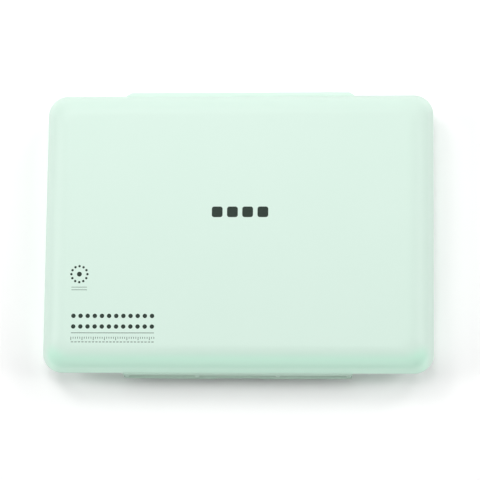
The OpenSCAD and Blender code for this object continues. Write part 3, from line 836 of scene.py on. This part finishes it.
def cup_tray():
    piece = Piece()
    edge = bent_line([(1.4, TRAY_TOP, 0), (0, TRAY_TOP, 0.5), (0, TRAY_Z, 0.4), (1.4, TRAY_Z, 0)])
    rim = piece.grid(rings(CASE_W - 2 * TRAY_IN, CASE_D - 2 * TRAY_IN, edge, hollow_corner(14.0)))
    tops, bottoms = [rim[0]], [rim[-1]]
    for place in cup_places:
        window = piece.grid(rings(WINDOW_W, WINDOW_W, edge * [-0.5, 1.0], hollow_corner(7.5), place, 7, 3))
        tops.append(window[0])
        bottoms.append(window[-1])
    outer = -TROUGH_T
    inner = bent_line([(-1.0, TRAY_TOP, 0), (0, TRAY_TOP, 0.6), (0.5, TROUGH_Z, 2.4), (6.0, TROUGH_Z, 0)])
    under = bent_line([(outer - 1.0, TRAY_Z, 0), (outer, TRAY_Z, 0.3), (outer + 0.4, TROUGH_Z - TROUGH_T, 2.6),
                       (5.0, TROUGH_Z - TROUGH_T, 0)])
    for section, loops in ((inner, tops), (under, bottoms)):
        trough = piece.grid(rings(TROUGH_W, TROUGH_D, section, hollow_corner(6.0), (0.0, TROUGH_Y)))
        loops.append(trough[0])
        piece.fill([trough[-1]], up=loops is tops)
    piece.fill(tops, up=True)
    piece.fill(bottoms, up=False)
    piece.orient()
    return piece.make("cup_tray.white", "base", tray_white, "white_tray", ["cup_tray"])


tray = cup_tray()
print("tray:", len(tray.data.polygons), "faces")

# %% [markdown]
# ## The cups
#
# Each cup is a thin drawn shell: a flange that rests on the tray, a small bead at its edge, a wall with draft and a
# rounded floor. One section does it, outside and inside together, and its plan radius shrinks as it moves in.

# %%
CUP_FLANGE_W, CUP_RIM_Z, CUP_LOW_Z, CUP_FLOOR_Z = 51.0, 22.5, 4.4, 5.4
CUP_WALL = 0.9
CUP_LEAN = 2.0 / (TRAY_TOP - CUP_LOW_Z)


def cup_wall_in(height, extra=0.0):
    """Distance in, from the flange's edge, of the cup's outside at a height."""
    return 2.0 + CUP_LEAN * (TRAY_TOP - height) + extra


CUP_SECTION = bent_line([
    (12.0, CUP_LOW_Z, 0), (cup_wall_in(CUP_LOW_Z), CUP_LOW_Z, 2.0), (cup_wall_in(TRAY_TOP), TRAY_TOP, 0.25),
    (0.0, TRAY_TOP, 0.3), (0.0, CUP_RIM_Z, 0.42), (2.6, CUP_RIM_Z, 0.55),
    (cup_wall_in(CUP_FLOOR_Z, CUP_WALL), CUP_FLOOR_Z, 1.8), (12.0, CUP_FLOOR_Z, 0)])


def cup_corner(inset):
    return 9.0 - 0.75 * inset


for k, place in enumerate(cup_places, 1):
    cup = Piece().solid(rings(CUP_FLANGE_W, CUP_FLANGE_W, CUP_SECTION, cup_corner, place, 8, 3))
    cup.make(f"cup.{k:02d}", "base", cup_white, "white_cup", [f"cup_{k:02d}"])
print("24 cups of", len(CUP_SECTION), "rings")

# %% [markdown]
# ## Gouache
#
# This gouache is a soft jelly. It was poured and has settled almost level, so it shows a broad swirl from the nozzle,
# a small peak or dimple where the stream broke off, and a lip where it climbs the wall. A flat square would look like
# printed paper. The skin is rings from the wall in to the middle, and its height is a sum of those four forms.

# %%
PAINT_TOP, PAINT_GAP = 18.6, 0.06
PAINTS = {
    "white": (246, 246, 243), "lemon_yellow": (250, 232, 60), "mid_yellow": (250, 200, 32), "orange": (244, 132, 36),
    "vermilion": (228, 66, 42), "carmine": (196, 28, 54), "rose": (226, 74, 128), "peach": (248, 186, 156),
    "light_pink": (246, 190, 204), "violet": (96, 56, 140), "lilac": (182, 158, 214), "ultramarine": (38, 58, 150),
    "cobalt_blue": (32, 92, 180), "sky_blue": (110, 184, 226), "turquoise": (40, 160, 168),
    "mint_green": (160, 218, 190), "light_green": (138, 196, 72), "mid_green": (44, 136, 76),
    "olive_green": (112, 118, 52), "yellow_ochre": (206, 154, 64), "burnt_sienna": (152, 78, 42),
    "burnt_umber": (88, 58, 42), "cool_grey": (146, 152, 158), "black": (34, 34, 36)}


def gouache(name, colour):
    """A matt body colour under a thin wet gleam. Its tone drifts, as pigment settles, and fine ripples catch light."""
    finish = Finish("gouache_" + name, IOR=1.45)
    drift = finish.place.noise(60.0, 4.0, 0.55).band(0.3, 0.7)
    fine = finish.place.noise(700.0, 2.0, 0.5)
    deep = tuple(c * 0.86 for c in colour[:3]) + (1.0,)
    return finish.set(Base_Color=drift.tint(deep, colour), Roughness=drift * 0.16 + fine * 0.1 + 0.22,
                      Normal=fine.bump(0.00006, 0.28))


def paint_skin(place, draw):
    """Rings of shares 1 to 0 from wall to middle. Height is level + lip * e^(-gap / 0.7) + swirl * sin(turns of angle
    and distance) + peak * e^(-(distance / 3)^2) + a slope. draw gives each cup its own numbers."""
    low_half, top_half = (CUP_FLANGE_W / 2 - cup_wall_in(z, CUP_WALL + PAINT_GAP) for z in (CUP_FLOOR_Z, PAINT_TOP))
    share = np.concatenate([[1.0, 0.985, 0.965, 0.94, 0.9], np.linspace(0.85, 0.04, 20)])
    flat = rings(2 * top_half, 2 * top_half, np.column_stack([top_half * (1 - share), np.zeros(len(share))]),
                 lambda inset: 5.6 - 0.1 * inset, (0.0, 0.0), 8, 9)
    x, y = flat[..., 0], flat[..., 1]
    distance, angle = np.hypot(x, y), np.arctan2(y, x)
    gap = (1 - share[:, None]) * top_half
    swirl = np.sin(angle * draw["arms"] + distance * draw["twist"] + draw["phase"])
    calm = np.clip(gap / 6, 0, 1) * np.clip(distance / 4, 0, 1)
    height = (PAINT_TOP - 0.45 + 0.75 * np.exp(-gap / 0.7) + draw["swirl"] * swirl * calm
              + draw["peak"] * np.exp(-((x - draw["off_x"]) ** 2 + (y - draw["off_y"]) ** 2) / 9)
              + (draw["tilt_x"] * x + draw["tilt_y"] * y) / top_half)
    top = np.stack([x, y, height], axis=-1)
    side = rings(2 * top_half, 2 * top_half, [(top_half - low_half + 0.8, 5.45), (top_half - low_half, 6.6)],
                 lambda inset: 5.6 - 0.5 * inset, (0.0, 0.0), 8, 9)
    return np.concatenate([side, top]) + [*place, 0.0]


chance = np.random.default_rng(11)
for k, (place, (name, shade)) in enumerate(zip(cup_places, PAINTS.items()), 1):
    draw = {"arms": int(chance.integers(1, 3)), "twist": chance.uniform(0.35, 0.6), "phase": chance.uniform(0, 6.2),
            "swirl": chance.uniform(0.1, 0.2), "peak": chance.choice([0.7, -0.5, 0.5]), "off_x": chance.normal(0, 3),
            "off_y": chance.normal(0, 3), "tilt_x": chance.normal(0, 0.12), "tilt_y": chance.normal(0, 0.12)}
    paint = Piece().solid(paint_skin(place, draw))
    paint.make(f"paint.{k:02d}", "base", gouache(name, rgb(*shade)), "paint_" + name, [f"paint_{k:02d}"])
print("poured", len(PAINTS), "colours")

# %% [markdown]
# ## The palette
#
# Three rectangular wells and two rows of round dishes are pressed into one white plate, which snaps into the lid with
# its face towards the paint. Plate and dishes share their edge rings, so lip, wall and floor run on without a joint,
# and the back follows at the sheet's thickness. A skirt behind stiffens it.

# %%
PALETTE_W, PALETTE_D, PALETTE_Z = 334.0, 238.0, 26.0
PALETTE_BACK, SKIRT_Z = PALETTE_Z + SHEET_T, 38.0
WELL_SIZE, WELL_PITCH, WELL_FLOOR = (98.0, 118.0), 106.0, PALETTE_Z + 8.0
FORMED_T = 1.3
DISH_W, DISH_DEPTH, DISH_PITCH, DISH_Y = 32.0, 3.6, 52.0, 88.0
DISH_R = (DISH_W ** 2 / 4 + DISH_DEPTH ** 2) / (2 * DISH_DEPTH)


def dish_section(thick):
    """A dish's section, mouth first: a rounded lip and a circle down to its middle. Behind, all of it is thick off."""
    bottom = math.degrees(math.asin((DISH_W / 2 - 0.6) / DISH_R))
    angle = np.radians(np.linspace(bottom, 3, 12))
    run = np.column_stack([DISH_W / 2 - (DISH_R + thick) * np.sin(angle),
                           PALETTE_Z + DISH_DEPTH - DISH_R + (DISH_R + thick) * np.cos(angle)])
    level = PALETTE_BACK if thick else PALETTE_Z
    return np.concatenate([[(-2.4 - thick, level), (-0.9 - thick, level), (-0.3 - thick, level + 0.06)], run])


def palette():
    piece = Piece()
    skirt = bent_line([(3.0, PALETTE_Z, 0), (0, PALETTE_Z, 0.6), (0, PALETTE_BACK, 0.5), (2, PALETTE_BACK, 0.3),
                       (2, SKIRT_Z, 0.35), (3.4, SKIRT_Z, 0.35), (3.4, PALETTE_BACK, 0.6), (6, PALETTE_BACK, 0)])
    rim = piece.grid(rings(PALETTE_W, PALETTE_D, skirt, hollow_corner(14.0)))
    fronts, backs = [rim[0]], [rim[-1]]
    well = bent_line([(-2.0, PALETTE_Z, 0), (0, PALETTE_Z, 0.9), (4, WELL_FLOOR, 3.2), (12, WELL_FLOOR, 0)])
    behind = bent_line([(-3.0, PALETTE_BACK, 0), (-0.7, PALETTE_BACK, 0.4), (2.6, WELL_FLOOR + FORMED_T, 3.4),
                        (11, WELL_FLOOR + FORMED_T, 0)])
    places = [(WELL_SIZE, (k * WELL_PITCH, 0.0), lambda inset: 12.0 - 0.6 * inset, well, behind) for k in (-1, 0, 1)]
    places += [((DISH_W, DISH_W), (k * DISH_PITCH, y), lambda inset: DISH_W / 2 - inset, dish_section(0.0),
                dish_section(FORMED_T)) for y in (-DISH_Y, DISH_Y) for k in np.arange(-2.5, 3)]
    for (width, depth), place, corner, front, back in places:
        for section, loops in ((front, fronts), (back, backs)):
            dish = piece.grid(rings(width, depth, section, corner, place, 10, 5 if width > DISH_W else 1))
            loops.append(dish[0])
            piece.fill([dish[-1]], up=loops is backs)
    piece.fill(fronts, up=False)
    piece.fill(backs, up=True)
    piece.orient()
    return piece.make("palette.white", "lid", palette_white, "white_palette", ["palette"])


mixing = palette()
print("palette:", len(mixing.data.polygons), "faces")

# %% [markdown]
# ## The brushes
#
# Three round brushes lie in the trough. A handle is turned from beech and lacquered, the ferrule is a seamless tube
# pressed on with two crimps, and the tuft is hundreds of tapered filaments that swell and close to a point. The tuft
# here is a solid core with filaments laid over it, because a bare cone would look like rubber.

# %%
HANDLE_R, FERRULE_L = 3.2, 22.0
BRUSHES = [(134.0, 2.9, 16.0), (138.0, 2.6, 18.0), (142.0, 2.2, 20.0)]
BUTT = [(0.0, 0.3), (0.12, 0.8), (0.5, 1.2), (1.2, 1.45)]
CRIMPS = [(-1.9, 0), (1, 0), (1.9, -0.22), (2.8, 0), (3.8, 0), (4.7, -0.22), (5.6, 0), (9, 0)]
HAIRS, HAIR_R = 150, 0.11
BRUSH_START = -TROUGH_W / 2 + 3
BRUSH_Z = TROUGH_Z + HANDLE_R


def turned(profile, y, columns=24):
    """Turns a profile of (distance along, radius) about a line along X through the brush's middle."""
    profile = np.asarray(profile, dtype=float)
    angle = np.linspace(0, 2 * math.pi, columns, endpoint=False)
    along = np.broadcast_to(BRUSH_START + profile[:, :1], (len(profile), columns))
    return np.stack([along, y + profile[:, 1:] * np.cos(angle), BRUSH_Z + profile[:, 1:] * np.sin(angle)], axis=-1)


def smooth_profile(stops, count):
    """Passes a smooth line through stops of (distance, radius): a smooth step from each stop to the next."""
    stops = np.asarray(stops, dtype=float)
    along = np.unique(np.concatenate([np.linspace(stops[0, 0], stops[-1, 0], count), stops[:, 0]]))
    k = np.clip(np.searchsorted(stops[:, 0], along, "right") - 1, 0, len(stops) - 2)
    t = (along - stops[k, 0]) / (stops[k + 1, 0] - stops[k, 0])
    return np.column_stack([along, stops[k, 1] + (stops[k + 1, 1] - stops[k, 1]) * t * t * (3 - 2 * t)])


def beech():
    """Straight-grained wood under clear lacquer: the grain is noise stretched along the handle."""
    finish = Finish("lacquered_beech", Coat_Weight=0.7, Coat_Roughness=0.08)
    grain = finish.place.stretched(0.06, 1.0, 1.0).noise(900.0, 4.0, 0.6)
    fleck = finish.place.stretched(0.12, 1.0, 1.0).noise(2600.0, 2.0).band(0.62, 0.72)
    wood = grain.band(0.3, 0.7).tint(rgb(198, 150, 100), rgb(222, 182, 134))
    return finish.set(Base_Color=(fleck * 0.5).tint(wood, rgb(150, 102, 62)), Roughness=grain * 0.15 + 0.38,
                      Normal=grain.bump(0.00005, 0.3))


def brush_hair():
    """Filaments: brown, darker in streaks."""
    finish = Finish("brush_filament", IOR=1.5)
    streak = finish.place.stretched(0.03, 1.0, 1.0).noise(4000.0, 2.0).band(0.3, 0.7)
    return finish.set(Base_Color=streak.tint(rgb(104, 58, 30), rgb(176, 112, 62)), Roughness=0.45)


handles, ferrules, tufts = Piece(), Piece(), Piece()
for k, (length, radius, tuft) in enumerate(BRUSHES):
    y = TROUGH_Y + (1 - k) * 7.6
    body = smooth_profile([(3, 1.6), (length * 0.45, HANDLE_R * 0.72), (length * 0.82, HANDLE_R),
                           (length - 2, radius + 0.1)], 40)
    handles.solid(turned(BUTT + body.tolist() + [(length + 2, radius - 0.4)], y))
    mouth = length + FERRULE_L - 2
    tube = smooth_profile([(length + far, radius + deep) for far, deep in CRIMPS] + [(mouth, radius * 0.86)], 50)
    ferrules.solid(turned([(length - 1.9, radius - 0.3)] + tube.tolist() +
                          [(mouth + 0.1, radius * 0.84), (mouth, radius * 0.8), (mouth - 1.5, radius * 0.78)], y, 32))
    core = smooth_profile([(mouth - 1.4, radius * 0.74), (mouth + 1, radius * 0.78),
                           (mouth + tuft * 0.36, radius * 0.88), (mouth + tuft * 0.8, radius * 0.45),
                           (mouth + tuft * 0.97, 0.06)], 30)
    tufts.solid(turned(core, y, 20))
    root = chance.uniform(0, 2 * math.pi, HAIRS)
    reach = chance.uniform(0.86, 1.0, HAIRS)
    wave = chance.normal(0, 0.05, HAIRS)
    steps, corner = np.linspace(0, 1, 8), np.radians([90, 210, 330])
    for start, far_end, sway in zip(root, reach, wave):
        along = mouth - 1 + (tuft * far_end + 1) * steps
        over = np.interp(along, core[:, 0], core[:, 1]) + 0.06
        turn = start + sway * steps * 3
        thin = HAIR_R * (1 - 0.8 * steps)
        out = over[:, None] + thin[:, None] * np.sin(corner)
        around = turn[:, None] + thin[:, None] * np.cos(corner) / np.maximum(over, 0.25)[:, None]
        tufts.solid(np.stack([np.broadcast_to(BRUSH_START + along[:, None], out.shape), y + out * np.cos(around),
                              BRUSH_Z + out * np.sin(around)], axis=-1))
handles.make("brush_handles.beech", "base", beech(), "brush_wood", ["brush_handles"])
ferrules.make("brush_ferrules.metal", "base", drawn_steel("ferrule_metal", rgb(214, 214, 212), (0.1, 1.0, 1.0)),
              "ferrule_metal", ["brush_ferrules"])
hair = tufts.make("brush_tufts.hair", "base", brush_hair(), "brush_hair", ["brush_tufts"])
print("tufts:", len(hair.data.polygons), "faces")

# %% [markdown]
# ## Floor
#
# A white sheet that keeps the box's shadow. To the camera, and in mirror-like reflections, it is a little brighter than
# the paper that lights the box from below, so that the background is white while the lamps stay low.

# %%
PAPER, PAPER_SEEN = 0.93, 1.07
FLOOR_HALF = 6.0


def paper_floor():
    mesh = bpy.data.meshes.new("floor")
    corners = [(FLOOR_HALF * x, FLOOR_HALF * y, 0) for x, y in ((-1, -1), (1, -1), (1, 1), (-1, 1))]
    mesh.from_pydata(corners, [], [(0, 1, 2, 3)])
    paper = Finish("white_paper", Roughness=0.9)
    rays = paper.tree.nodes.new("ShaderNodeLightPath")
    seen, glossy, through = (Sock(paper.tree, rays.outputs[name])
                             for name in ("Is Camera Ray", "Is Glossy Ray", "Is Transmission Ray"))
    mesh.materials.append(paper.set(Base_Color=seen.maths("MAXIMUM", seen, glossy + through).tint(
        (PAPER, PAPER, PAPER, 1.0), (PAPER_SEEN, PAPER_SEEN, PAPER_SEEN, 1.0))))
    add_object("floor", mesh)


paper_floor()
print("floor half", FLOOR_HALF, "m")
